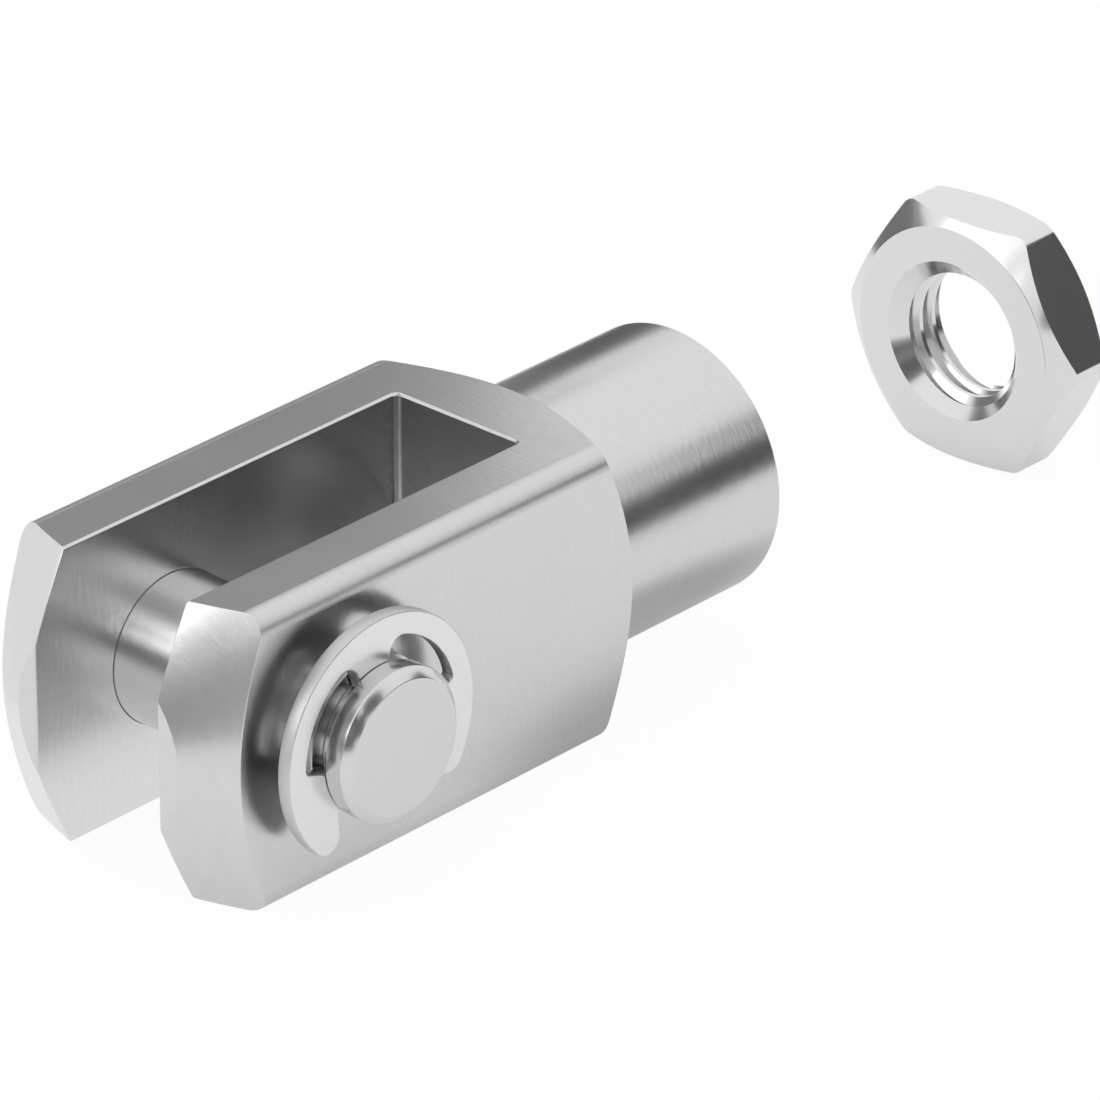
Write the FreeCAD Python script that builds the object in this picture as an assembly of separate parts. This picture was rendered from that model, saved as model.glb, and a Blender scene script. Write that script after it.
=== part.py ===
import FreeCAD, Part
import math
import os

# Rod clevis with its pin, two retaining clips and the rod's lock nut.
# Frame: the pin lies along Y and the rod's thread along X, its mouth opening to +X; +Z is up.
# The origin is the middle of the slot, where both axes cross. All sizes are in millimetres.

os.makedirs("parts", exist_ok=True)

# Rod thread, M10 x 1.25, shared by the fork and its lock nut
THREAD_DIAMETER = 10.0
THREAD_PITCH = 1.25
# height of engagement of a 60 degree metric thread, as a share of the pitch
THREAD_ENGAGEMENT = 0.54127
# how far a countersunk mouth stands outside the thread's full radius
COUNTERSINK_MARGIN = 0.5

# Fork, milled and turned from one square bar
BAR_WIDTH = 20.0
BAR_EDGE_ROUNDING = 1.4
EYE_WIDTH = 10.0
EYE_CLEARANCE = 0.125
SLOT_DEPTH_BEHIND_PIN = 20.0
SLOT_EDGE_BEVEL = 0.2
SLOT_CORNER_RADIUS = 0.5
PIN_AXIS_TO_SHANK_END = 40.0
NOSE_REACH = 11.5
NOSE_DISC_RADIUS = 6.7
NOSE_ANGLE = 30.0
SHANK_DIAMETER = 18.0
SHANK_LENGTH = 14.3
SHANK_END_BEVEL = 0.1
SHOULDER_ANGLE = 33.0
CROSS_HOLE_BEVEL = 0.15

# Pin and the two clips that hold it
PIN_DIAMETER = 10.0
PIN_HOLE_CLEARANCE = 0.04
PIN_END_BEVEL = 0.6
PIN_END_LAND = 1.85
GROOVE_DIAMETER = 8.0
CLIP_THICKNESS = 1.0
CLIP_GROOVE_CLEARANCE = 0.05
# the pin slides a little between its clips and rests pushed out on the near side
CLIP_GAP_NEAR = 1.5
CLIP_GAP_FAR = 0.2

# Clip: an open spring ring with three lobes that grip the groove. It snaps on through its
# jaws, and its mouth is wider. Angles are in degrees, and the lobes' are full widths.
CLIP_RADIUS = 8.0
CLIP_LOBE_CLEARANCE = 0.03
CLIP_RECESS_RADIUS = 6.5
CLIP_LOBE_ANGLE = 31.0
CLIP_END_LOBE_SLANT = 12.5
CLIP_JAW_GAP = 6.52
CLIP_MOUTH_WIDTH = 8.6
CLIP_TIP_ROUNDING = 1.1
CLIP_RECESS_ROUNDING = 1.0
CLIP_CORNER_ROUNDING = 0.4
# where the closed back of the ring points, from +X towards +Z
CLIP_BACK_DIRECTION = 97.5

# Lock nut, standing on one flat beside the fork
NUT_SIDES = 6
NUT_ACROSS_FLATS = 17.0
NUT_THICKNESS = 5.0
NUT_FACE_INSET = 0.6
NUT_CHAMFER_ANGLE = 33.0
NUT_CORNER_ROUNDING = 1.0
NUT_STAND_OFF = 27.3

# a cutter reaches this far past what it cuts
CUT_MARGIN = 1.0
FULL_TURN = 360.0
# two points closer than this are the same
SAME_PLACE = 0.001
# lines that meet at less than this angle run the same way
PARALLEL_ANGLE = 1.0

X_AXIS = FreeCAD.Vector(1, 0, 0)
Y_AXIS = FreeCAD.Vector(0, 1, 0)
Z_AXIS = FreeCAD.Vector(0, 0, 1)


def minor_radius():
    """Radius of the thread's crests, where a plain tap drill leaves the wall."""
    return THREAD_DIAMETER / 2.0 - THREAD_ENGAGEMENT * THREAD_PITCH


def cone_depth(radial, angle):
    """Axial depth of a turned cone over a radial distance, its angle taken from the face."""
    return radial * math.tan(math.radians(angle))


def turned(profile, axis_z=0.0):
    """Solid turned about a line along X at a height, from (x, radius) corners."""
    corners = [FreeCAD.Vector(x, radius, axis_z) for x, radius in profile]
    outline = Part.makePolygon(corners + [corners[0]])
    return Part.Face(outline).revolve(FreeCAD.Vector(0, 0, axis_z), X_AXIS, FULL_TURN)


def edges_along(shape, direction):
    """Straight edges of a shape that run along a direction."""
    found = []
    for edge in shape.Edges:
        if isinstance(edge.Curve, Part.Line):
            along = edge.tangentAt(edge.FirstParameter)
            turn = math.degrees(along.getAngle(direction))
            if min(turn, FULL_TURN / 2.0 - turn) < PARALLEL_ANGLE:
                found.append(edge)
    return found


def edges_across_clip(blank, radius, angles):
    """Edges through a clip's thickness that stand at a radius and one of some angles."""
    places = [on_circle(radius, angle) for angle in angles]
    found = []
    for edge in edges_along(blank, Y_AXIS):
        end = edge.Vertexes[0].Point
        end.y = 0
        if any(end.distanceToPoint(place) < SAME_PLACE for place in places):
            found.append(edge)
    return found


def tap_drill(start, end, axis_z=0.0):
    """Cylinder along X at the thread's crest radius, reaching past both ends."""
    length = end - start + 2 * CUT_MARGIN
    corner = FreeCAD.Vector(start - CUT_MARGIN, 0, axis_z)
    return Part.makeCylinder(minor_radius(), length, corner, X_AXIS)


def countersink(mouth_x, inward, axis_z=0.0):
    """Cone at a thread's mouth, its sides at 45 degrees, going in along the sign of inward."""
    mouth = THREAD_DIAMETER / 2.0 + COUNTERSINK_MARGIN
    face = FreeCAD.Vector(mouth_x, 0, axis_z)
    return Part.makeCone(mouth, 0.0, mouth, face, X_AXIS * inward)


def square_bar(front, rear):
    """Square bar along X with rounded long edges."""
    half = BAR_WIDTH / 2.0
    corner = FreeCAD.Vector(front, -half, -half)
    bar = Part.makeBox(rear - front, BAR_WIDTH, BAR_WIDTH, corner)
    return bar.makeFillet(BAR_EDGE_ROUNDING, edges_along(bar, X_AXIS))


def fork_envelope(nose, rear):
    """Turned shape of the fork: nose disc and cone, full corners, shoulder cone and shank."""
    corner = BAR_WIDTH * math.sqrt(0.5)
    shank = SHANK_DIAMETER / 2.0
    nose_cone = cone_depth(corner - NOSE_DISC_RADIUS, NOSE_ANGLE)
    shoulder_cone = cone_depth(corner - shank, SHOULDER_ANGLE)
    shoulder = rear - SHANK_LENGTH
    profile = [
        (nose, 0),
        (nose, NOSE_DISC_RADIUS),
        (nose + nose_cone, corner),
        (shoulder - shoulder_cone, corner),
        (shoulder, shank),
        (rear - SHANK_END_BEVEL, shank),
        (rear, shank - SHANK_END_BEVEL),
        (rear, 0),
    ]
    return turned(profile)


def slot_half_width():
    """Half the slot: the eye that turns in it, and the room on each side of the eye."""
    return EYE_WIDTH / 2.0 + EYE_CLEARANCE


def slot_cutter(front, bottom):
    """Block that opens the fork from the front, its two corners at the slot's bottom rounded."""
    half = slot_half_width()
    reach = BAR_WIDTH / 2.0 + CUT_MARGIN
    corner = FreeCAD.Vector(front - CUT_MARGIN, -half, -reach)
    block = Part.makeBox(bottom - corner.x, 2 * half, 2 * reach, corner)
    at_bottom = [edge for edge in edges_along(block, Z_AXIS) if edge.CenterOfMass.x > 0]
    return block.makeFillet(SLOT_CORNER_RADIUS, at_bottom)


def slot_rims(fork):
    """Edges of the slot in the fork's upper and lower flats."""
    top = BAR_WIDTH / 2.0
    found = []
    for edge in fork.Edges:
        bounds = edge.BoundBox
        level = bounds.ZLength < SAME_PLACE and abs(abs(bounds.ZMax) - top) < SAME_PLACE
        in_slot = bounds.XMax < SLOT_DEPTH_BEHIND_PIN + SAME_PLACE
        if level and in_slot and abs(edge.CenterOfMass.y) < slot_half_width() + SAME_PLACE:
            found.append(edge)
    return found


def cross_hole(radius):
    """Hole for the pin through both ears, with a small bevel at each outer mouth."""
    half = BAR_WIDTH / 2.0
    start = FreeCAD.Vector(0, -half - CUT_MARGIN, 0)
    hole = Part.makeCylinder(radius, BAR_WIDTH + 2 * CUT_MARGIN, start, Y_AXIS)
    for side in (-1, 1):
        mouth = FreeCAD.Vector(0, side * half, 0)
        sink = Part.makeCone(radius + CROSS_HOLE_BEVEL, radius, CROSS_HOLE_BEVEL, mouth, Y_AXIS * -side)
        hole = hole.fuse(sink)
    return hole


def make_fork():
    """The clevis body: two ears, the block behind them and the threaded shank."""
    nose = -NOSE_REACH
    rear = PIN_AXIS_TO_SHANK_END
    fork = square_bar(nose, rear).common(fork_envelope(nose, rear))
    fork = fork.cut(slot_cutter(nose, SLOT_DEPTH_BEHIND_PIN))
    fork = fork.makeChamfer(SLOT_EDGE_BEVEL, slot_rims(fork))
    fork = fork.cut(cross_hole(PIN_DIAMETER / 2.0 + PIN_HOLE_CLEARANCE))
    fork = fork.cut(tap_drill(SLOT_DEPTH_BEHIND_PIN, rear))
    return fork.cut(countersink(rear, -1))


def pin_middle():
    """Middle of the pin, off the fork's middle by half the difference of the clips' gaps."""
    return Y_AXIS * ((CLIP_GAP_FAR - CLIP_GAP_NEAR) / 2.0)


def clip_station():
    """Distance from the pin's middle to the inner face of each clip."""
    return (BAR_WIDTH + CLIP_GAP_NEAR + CLIP_GAP_FAR) / 2.0


def groove_width():
    """Width of the groove that a clip sits in."""
    return CLIP_THICKNESS + 2 * CLIP_GROOVE_CLEARANCE


def make_pin():
    """The clevis pin: a plain shaft with a clip groove and a bevel at each end."""
    radius = PIN_DIAMETER / 2.0
    wall = clip_station() - CLIP_GROOVE_CLEARANCE
    half = wall + groove_width() + PIN_END_LAND
    shaft = Part.makeCylinder(radius, 2 * half, Y_AXIS * -half, Y_AXIS)
    rims = [edge for edge in shaft.Edges if isinstance(edge.Curve, Part.Circle)]
    pin = shaft.makeChamfer(PIN_END_BEVEL, rims)
    for side in (-1, 1):
        start = Y_AXIS * (side * wall)
        outward = Y_AXIS * side
        ring = Part.makeCylinder(radius + CUT_MARGIN, groove_width(), start, outward)
        core = Part.makeCylinder(GROOVE_DIAMETER / 2.0, groove_width(), start, outward)
        pin = pin.cut(ring.cut(core))
    pin.translate(pin_middle())
    return pin


def on_circle(radius, angle):
    """Point of the clip's plane at a radius and an angle from +X towards +Z."""
    turn = math.radians(angle)
    return FreeCAD.Vector(radius * math.cos(turn), 0, radius * math.sin(turn))


def arc_through(radius, start, end):
    """Arc about the pin's axis from one angle to another."""
    middle = (start + end) / 2.0
    points = [on_circle(radius, angle) for angle in (start, middle, end)]
    return Part.Arc(points[0], points[1], points[2]).toShape()


def clip_angles():
    """Angles of the clip's outline, measured from the middle of its closed back."""
    grip = GROOVE_DIAMETER / 2.0 + CLIP_LOBE_CLEARANCE
    half_turn = FULL_TURN / 2.0
    jaw = half_turn - math.degrees(math.asin(CLIP_JAW_GAP / 2.0 / grip))
    return {
        "back_lobe": CLIP_LOBE_ANGLE / 2.0,
        "recess_end": jaw - CLIP_LOBE_ANGLE - CLIP_END_LOBE_SLANT,
        "end_lobe": jaw - CLIP_LOBE_ANGLE,
        "jaw": jaw,
        "tip": half_turn - math.degrees(math.asin(CLIP_MOUTH_WIDTH / 2.0 / CLIP_RADIUS)),
    }


def clip_outline():
    """Closed wire of the clip, one half from its back to its tip and the other mirrored."""
    grip = GROOVE_DIAMETER / 2.0 + CLIP_LOBE_CLEARANCE
    angle = clip_angles()
    mouth_corner = CLIP_MOUTH_WIDTH / 2.0 / math.sin(math.radians(angle["jaw"]))
    edges = [arc_through(CLIP_RADIUS, -angle["tip"], angle["tip"])]
    edges.append(arc_through(grip, -angle["back_lobe"], angle["back_lobe"]))
    for side in (-1, 1):
        lobe = on_circle(grip, side * angle["back_lobe"])
        recess = on_circle(CLIP_RECESS_RADIUS, side * angle["back_lobe"])
        recess_end = on_circle(CLIP_RECESS_RADIUS, side * angle["recess_end"])
        end_lobe = on_circle(grip, side * angle["end_lobe"])
        jaw = on_circle(grip, side * angle["jaw"])
        mouth = on_circle(mouth_corner, side * angle["jaw"])
        tip = on_circle(CLIP_RADIUS, side * angle["tip"])
        edges.append(Part.makeLine(lobe, recess))
        edges.append(arc_through(CLIP_RECESS_RADIUS, side * angle["back_lobe"], side * angle["recess_end"]))
        edges.append(Part.makeLine(recess_end, end_lobe))
        edges.append(arc_through(grip, side * angle["end_lobe"], side * angle["jaw"]))
        edges.append(Part.makeLine(jaw, mouth))
        edges.append(Part.makeLine(mouth, tip))
    return Part.Wire(Part.sortEdges(edges)[0])


def make_clip(side):
    """Retaining clip in the groove on one side of the fork, -1 near or +1 far."""
    clip = Part.Face(clip_outline()).extrude(Y_AXIS * (side * CLIP_THICKNESS))
    angle = clip_angles()
    corners = [
        (CLIP_TIP_ROUNDING, CLIP_RADIUS, angle["tip"]),
        (CLIP_RECESS_ROUNDING, CLIP_RECESS_RADIUS, angle["back_lobe"]),
        (CLIP_CORNER_ROUNDING, CLIP_RECESS_RADIUS, angle["recess_end"]),
    ]
    for rounding, radius, place in corners:
        clip = clip.makeFillet(rounding, edges_across_clip(clip, radius, (-place, place)))
    clip.rotate(FreeCAD.Vector(0, 0, 0), Y_AXIS, -CLIP_BACK_DIRECTION)
    clip.translate(pin_middle() + Y_AXIS * (side * clip_station()))
    return clip


def make_nut():
    """Thin hexagon nut on its flat, level with the fork's lower flat, both faces chamfered."""
    flat = NUT_ACROSS_FLATS / 2.0
    turn = 2 * math.pi / NUT_SIDES
    corner = flat / math.cos(turn / 2.0)
    axis_z = flat - BAR_WIDTH / 2.0
    start = PIN_AXIS_TO_SHANK_END + NUT_STAND_OFF
    end = start + NUT_THICKNESS
    points = []
    for index in range(NUT_SIDES):
        across = corner * math.cos(turn * index)
        up = corner * math.sin(turn * index)
        points.append(FreeCAD.Vector(start, across, axis_z + up))
    outline = Part.makePolygon(points + [points[0]])
    nut = Part.Face(outline).extrude(X_AXIS * NUT_THICKNESS)
    nut = nut.makeFillet(NUT_CORNER_ROUNDING, edges_along(nut, X_AXIS))
    face = flat - NUT_FACE_INSET
    slope = 1.0 / math.tan(math.radians(NUT_CHAMFER_ANGLE))
    nut = nut.cut(tap_drill(start, end, axis_z))
    for near, far in ((start, end), (end, start)):
        inward = math.copysign(1.0, far - near)
        depth = NUT_THICKNESS + CUT_MARGIN
        mouth = FreeCAD.Vector(near, 0, axis_z)
        cone = Part.makeCone(face, face + depth * slope, depth, mouth, X_AXIS * inward)
        nut = nut.common(cone)
        nut = nut.cut(countersink(near, inward, axis_z))
    return nut


SUBPARTS = {
    "clevis_body": make_fork(),
    "clevis_pin": make_pin(),
    "retaining_clip_near": make_clip(-1),
    "retaining_clip_far": make_clip(1),
    "lock_nut": make_nut(),
}

for name, shape in SUBPARTS.items():
    shape.exportStep("parts/" + name + ".step")
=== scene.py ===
import logging
import math
from contextlib import contextmanager
from dataclasses import dataclass, field
from enum import Enum
from typing import Callable, Iterator, Sequence

import bmesh
import bpy
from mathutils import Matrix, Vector


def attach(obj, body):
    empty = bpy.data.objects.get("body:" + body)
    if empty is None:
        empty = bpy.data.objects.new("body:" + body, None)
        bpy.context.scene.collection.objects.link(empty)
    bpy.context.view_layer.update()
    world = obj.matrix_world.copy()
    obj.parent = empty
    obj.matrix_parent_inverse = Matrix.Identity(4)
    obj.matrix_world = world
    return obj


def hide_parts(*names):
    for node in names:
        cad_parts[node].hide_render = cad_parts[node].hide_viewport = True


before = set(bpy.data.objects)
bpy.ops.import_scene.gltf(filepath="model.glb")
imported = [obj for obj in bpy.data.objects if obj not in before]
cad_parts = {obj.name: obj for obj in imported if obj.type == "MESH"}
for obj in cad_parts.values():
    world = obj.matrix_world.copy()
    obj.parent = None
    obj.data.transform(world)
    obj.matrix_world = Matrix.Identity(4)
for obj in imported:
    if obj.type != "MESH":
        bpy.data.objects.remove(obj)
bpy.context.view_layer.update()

LOG = logging.getLogger("clevis")

# Pieces are modelled in millimetres and brought to metres when they are finished.
MM = 0.001
# Two coordinates closer than this, in millimetres, are the same place.
NEAR = 0.002
# How far a cutter reaches past what it cuts, in millimetres.
PAST = 1.0
# How close to a splitting plane a corner counts as on it, in millimetres.
ON_PLANE = 0.0001
# Corners of a finished piece closer than this, in millimetres, are joined.
JOINED = 0.0005

Shape = bpy.types.Object
Material = bpy.types.Material
NodeTree = bpy.types.NodeTree
Socket = bpy.types.NodeSocket
# Distance along an axis and radius of each rim of a turned piece.
Stations = Sequence[tuple[float, float]]
# Takes the places of an edge's two ends, and says whether the edge is meant.
EdgeTest = Callable[[Vector, Vector], bool]


class Axis(Enum):
    """Directions that a turned piece can lie along."""

    X = (1.0, 0.0, 0.0)
    Y = (0.0, 1.0, 0.0)

    @property
    def vector(self) -> Vector:
        """The direction as a vector."""
        return Vector(self.value)

    @property
    def rotation(self) -> tuple[float, float, float]:
        """The turn that lays a flat disc square to this direction.

        Returns:
            Its three angles in radians.
        """
        if self is Axis.X:
            return (0.0, math.pi / 2, 0.0)
        return (-math.pi / 2, 0.0, 0.0)


class Cut(Enum):
    """Ways to combine a piece with a tool."""

    KEEP_INSIDE = "INTERSECT"
    REMOVE = "DIFFERENCE"


# Bench operations


def deselect() -> None:
    """Leaves edit mode and clears the selection."""
    if bpy.context.object is not None and bpy.context.object.mode != "OBJECT":
        bpy.ops.object.mode_set(mode="OBJECT")
    bpy.ops.object.select_all(action="DESELECT")


def pick_up(piece: Shape) -> None:
    """Makes one piece the selected and active one.

    Args:
        piece: The piece to work on next.
    """
    deselect()
    piece.select_set(True)
    bpy.context.view_layer.objects.active = piece


@contextmanager
def editing(piece: Shape, mode: str = "VERT") -> Iterator[bmesh.types.BMesh]:
    """Opens a piece in edit mode with nothing selected and closes it again.

    Args:
        piece: The piece to edit.
        mode: VERT, EDGE or FACE, what a selection is made of.

    Yields:
        The edit mesh, in which faces and edges are selected by their place.
    """
    pick_up(piece)
    bpy.ops.object.mode_set(mode="EDIT")
    bpy.ops.mesh.select_mode(type=mode)
    bpy.ops.mesh.select_all(action="DESELECT")
    yield bmesh.from_edit_mesh(piece.data)
    bpy.ops.object.mode_set(mode="OBJECT")


def select_everything() -> None:
    """Selects the whole of the open piece."""
    bpy.ops.mesh.select_all(action="SELECT")


def face_outwards() -> None:
    """Turns every face of the open piece outwards."""
    select_everything()
    bpy.ops.mesh.normals_make_consistent(inside=False)


def slice_off(point: Vector, outward: Vector) -> None:
    """Cuts off all of the open piece that lies beyond a plane, and closes the cut.

    Args:
        point: A point of the plane.
        outward: The way out of what is kept.
    """
    select_everything()
    bpy.ops.mesh.bisect(
        plane_co=point, plane_no=outward, use_fill=True, clear_outer=True, threshold=ON_PLANE
    )


def select_corners(piece: Shape, test: Callable[[Vector], bool]) -> None:
    """Selects the corners of an open piece that pass a test.

    Args:
        piece: The piece, in edit mode.
        test: Takes a corner's place.
    """
    bpy.ops.mesh.select_all(action="DESELECT")
    mesh = bmesh.from_edit_mesh(piece.data)
    for corner in mesh.verts:
        corner.select_set(test(corner.co))
    mesh.select_flush_mode()
    bmesh.update_edit_mesh(piece.data)


def apply_place(piece: Shape) -> None:
    """Moves a piece's place, turn and scale into its mesh."""
    pick_up(piece)
    bpy.ops.object.transform_apply(location=True, rotation=True, scale=True)


def combine(piece: Shape, tool: Shape, how: Cut) -> None:
    """Cuts a piece with a tool, and puts the tool away.

    Args:
        piece: The piece that is kept.
        tool: The solid that cuts it.
        how: Whether the tool's inside is kept or removed.
    """
    pick_up(piece)
    change = piece.modifiers.new("cut", "BOOLEAN")
    change.operation = how.value
    change.solver = "EXACT"
    change.object = tool
    bpy.ops.object.modifier_apply(modifier=change.name)
    bpy.data.objects.remove(tool, do_unlink=True)


def block(name: str, low: Vector, high: Vector) -> Shape:
    """Adds a rectangular block between two corners.

    Args:
        name: The block's name.
        low: Its lowest corner in millimetres.
        high: Its highest corner in millimetres.

    Returns:
        The block.
    """
    deselect()
    bpy.ops.mesh.primitive_cube_add(size=1.0, location=(low + high) / 2)
    piece = bpy.context.active_object
    piece.name = name
    piece.scale = high - low
    apply_place(piece)
    return piece


def turned(name: str, axis: Axis, centre: Vector, stations: Stations, segments: int) -> Shape:
    """Turns a solid: a disc is extruded and resized from one station to the next.

    Args:
        name: The piece's name.
        axis: The direction it is turned about.
        centre: A point on the axis, from which the stations are measured.
        stations: Distance along the axis and radius of each rim, in millimetres.
        segments: How many sides the round has.

    Returns:
        The closed solid.
    """
    along = axis.vector
    here, radius = stations[0]
    deselect()
    bpy.ops.mesh.primitive_circle_add(
        vertices=segments,
        radius=radius,
        fill_type="NGON",
        location=centre + along * here,
        rotation=axis.rotation,
    )
    piece = bpy.context.active_object
    piece.name = name
    apply_place(piece)
    with editing(piece, "FACE"):
        select_everything()
        for there, wanted in stations[1:]:
            bpy.ops.mesh.extrude_region_move(TRANSFORM_OT_translate={"value": along * (there - here)})
            ratio = wanted / radius
            factors = [1.0 if part else ratio for part in along]
            bpy.ops.transform.resize(value=factors, center_override=centre + along * there)
            here, radius = there, wanted
        face_outwards()
    return piece


def bevel_edges(piece: Shape, width: float, segments: int, test: EdgeTest) -> None:
    """Bevels the edges that pass a test.

    Args:
        piece: The piece to work on.
        width: How far the bevel reaches from the edge, in millimetres.
        segments: How many strips it has; one is a flat bevel.
        test: Picks the edges.
    """
    with editing(piece, "EDGE") as mesh:
        for edge in mesh.edges:
            edge.select_set(test(edge.verts[0].co, edge.verts[1].co))
        mesh.select_flush_mode()
        bmesh.update_edit_mesh(piece.data)
        bpy.ops.mesh.bevel(offset=width, offset_type="OFFSET", segments=segments, affect="EDGES")


def soften(piece: Shape, width: float, segments: int = 2, angle: float = 25.0) -> None:
    """Rounds every edge sharper than an angle by a hair.

    Args:
        piece: The piece to work on.
        width: The rounding in millimetres.
        segments: Strips in the rounding.
        angle: Edges that turn by less than this many degrees stay.
    """
    pick_up(piece)
    change = piece.modifiers.new("soften", "BEVEL")
    change.width = width
    change.segments = segments
    change.limit_method = "ANGLE"
    change.angle_limit = math.radians(angle)
    change.use_clamp_overlap = False
    bpy.ops.object.modifier_apply(modifier=change.name)


def finish(
    piece: Shape,
    body: str,
    node: str,
    material: Material,
    smooth_angle: float = 20.0,
) -> Shape:
    """Brings a piece to metres, smooths its rounds, dresses it and puts it on its body.

    Args:
        piece: The finished shape in millimetres.
        body: The body that it rides on.
        node: The plain solid that it stands for.
        material: Its finish.
        smooth_angle: Faces that meet at less than this many degrees shade as one.

    Returns:
        The piece.
    """
    with editing(piece):
        select_everything()
        bpy.ops.mesh.remove_doubles(threshold=JOINED)
        bpy.ops.transform.resize(value=(MM, MM, MM), center_override=(0.0, 0.0, 0.0))
    pick_up(piece)
    bpy.ops.object.shade_smooth_by_angle(angle=math.radians(smooth_angle))
    even = piece.modifiers.new("even", "WEIGHTED_NORMAL")
    even.mode = "FACE_AREA"
    even.weight = 100
    even.keep_sharp = True
    bpy.ops.object.modifier_apply(modifier=even.name)
    piece.data.materials.clear()
    piece.data.materials.append(material)
    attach(piece, body)
    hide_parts(node)
    triangles = sum(len(face.vertices) - 2 for face in piece.data.polygons)
    LOG.info("%s: %d triangles, on body %s", piece.name, triangles, body)
    return piece


# Shapes


@dataclass
class RodThread:
    """Internal metric thread M10 x 1.25, cut by a tap that is itself a threaded solid."""

    diameter: float = 10.0
    pitch: float = 1.25
    engagement: float = 0.54127
    crest_flat: float = 0.25
    root_flat: float = 0.125
    steps: int = 72
    spare_turns: int = 3
    countersink_margin: float = 0.5
    countersink_segments: int = 96

    @property
    def crest_radius(self) -> float:
        """Radius of the bore at the thread's crests."""
        return self.diameter / 2 - self.engagement * self.pitch

    @property
    def root_radius(self) -> float:
        """Radius at the bottom of the thread's grooves."""
        return self.diameter / 2

    @property
    def mouth_radius(self) -> float:
        """Radius of the countersink at a face."""
        return self.diameter / 2 + self.countersink_margin

    def tap(self, name: str, low: float, high: float, axis_z: float) -> Shape:
        """Makes the threaded solid that cuts the hole.

        Args:
            name: The tap's name.
            low: Its lower end along X, in millimetres.
            high: Its upper end along X.
            axis_z: Height of its axis.

        Returns:
            A closed right-handed threaded rod.
        """
        flank = self.pitch * (1 - self.crest_flat - self.root_flat) / 2
        depth = self.root_radius - self.crest_radius
        moves = [
            Vector((self.pitch * self.crest_flat, 0.0, 0.0)),
            Vector((flank, 0.0, depth)),
            Vector((self.pitch * self.root_flat, 0.0, 0.0)),
            Vector((flank, 0.0, -depth)),
        ]
        turns = math.ceil((high - low) / self.pitch) + self.spare_turns
        start = Vector((low - self.spare_turns / 2 * self.pitch, 0.0, self.crest_radius))
        speck = 0.1
        deselect()
        bpy.ops.mesh.primitive_plane_add(size=speck, location=start)
        tool = bpy.context.active_object
        tool.name = name
        apply_place(tool)
        with editing(tool):
            select_everything()
            bpy.ops.mesh.merge(type="CENTER")
            for move in moves:
                bpy.ops.mesh.extrude_region_move(TRANSFORM_OT_translate={"value": move})
        pick_up(tool)
        winding = tool.modifiers.new("winding", "SCREW")
        winding.axis = "X"
        winding.angle = math.tau
        winding.screw_offset = self.pitch
        winding.iterations = turns
        winding.steps = self.steps
        winding.render_steps = self.steps
        bpy.ops.object.modifier_apply(modifier=winding.name)
        with editing(tool):
            select_everything()
            bpy.ops.mesh.remove_doubles(threshold=NEAR)
            slice_off(Axis.X.vector * low, -Axis.X.vector)
            slice_off(Axis.X.vector * high, Axis.X.vector)
            face_outwards()
            bpy.ops.transform.translate(value=(0.0, 0.0, axis_z))
        return tool

    def cut(self, piece: Shape, low: float, high: float, axis_z: float) -> None:
        """Cuts the threaded hole through a piece.

        Args:
            piece: The piece to thread.
            low: Where the hole starts along X.
            high: Where it ends.
            axis_z: Height of its axis.
        """
        tool = self.tap(piece.name + "_tap", low - PAST, high + PAST, axis_z)
        combine(piece, tool, Cut.REMOVE)

    def countersink(self, piece: Shape, face_x: float, inward: float, axis_z: float) -> None:
        """Cuts a conical mouth with sides at 45 degrees.

        Args:
            piece: The piece to work on.
            face_x: Where the mouth's face stands along X.
            inward: +1 or -1, the way into the piece along X.
            axis_z: Height of its axis.
        """
        depth = self.mouth_radius - self.crest_radius / 2
        centre = Vector((face_x, 0.0, axis_z))
        stations = [
            (-inward * PAST, self.mouth_radius + PAST),
            (inward * depth, self.crest_radius / 2),
        ]
        tool = turned(piece.name + "_sink", Axis.X, centre, stations, self.countersink_segments)
        combine(piece, tool, Cut.REMOVE)


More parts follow.
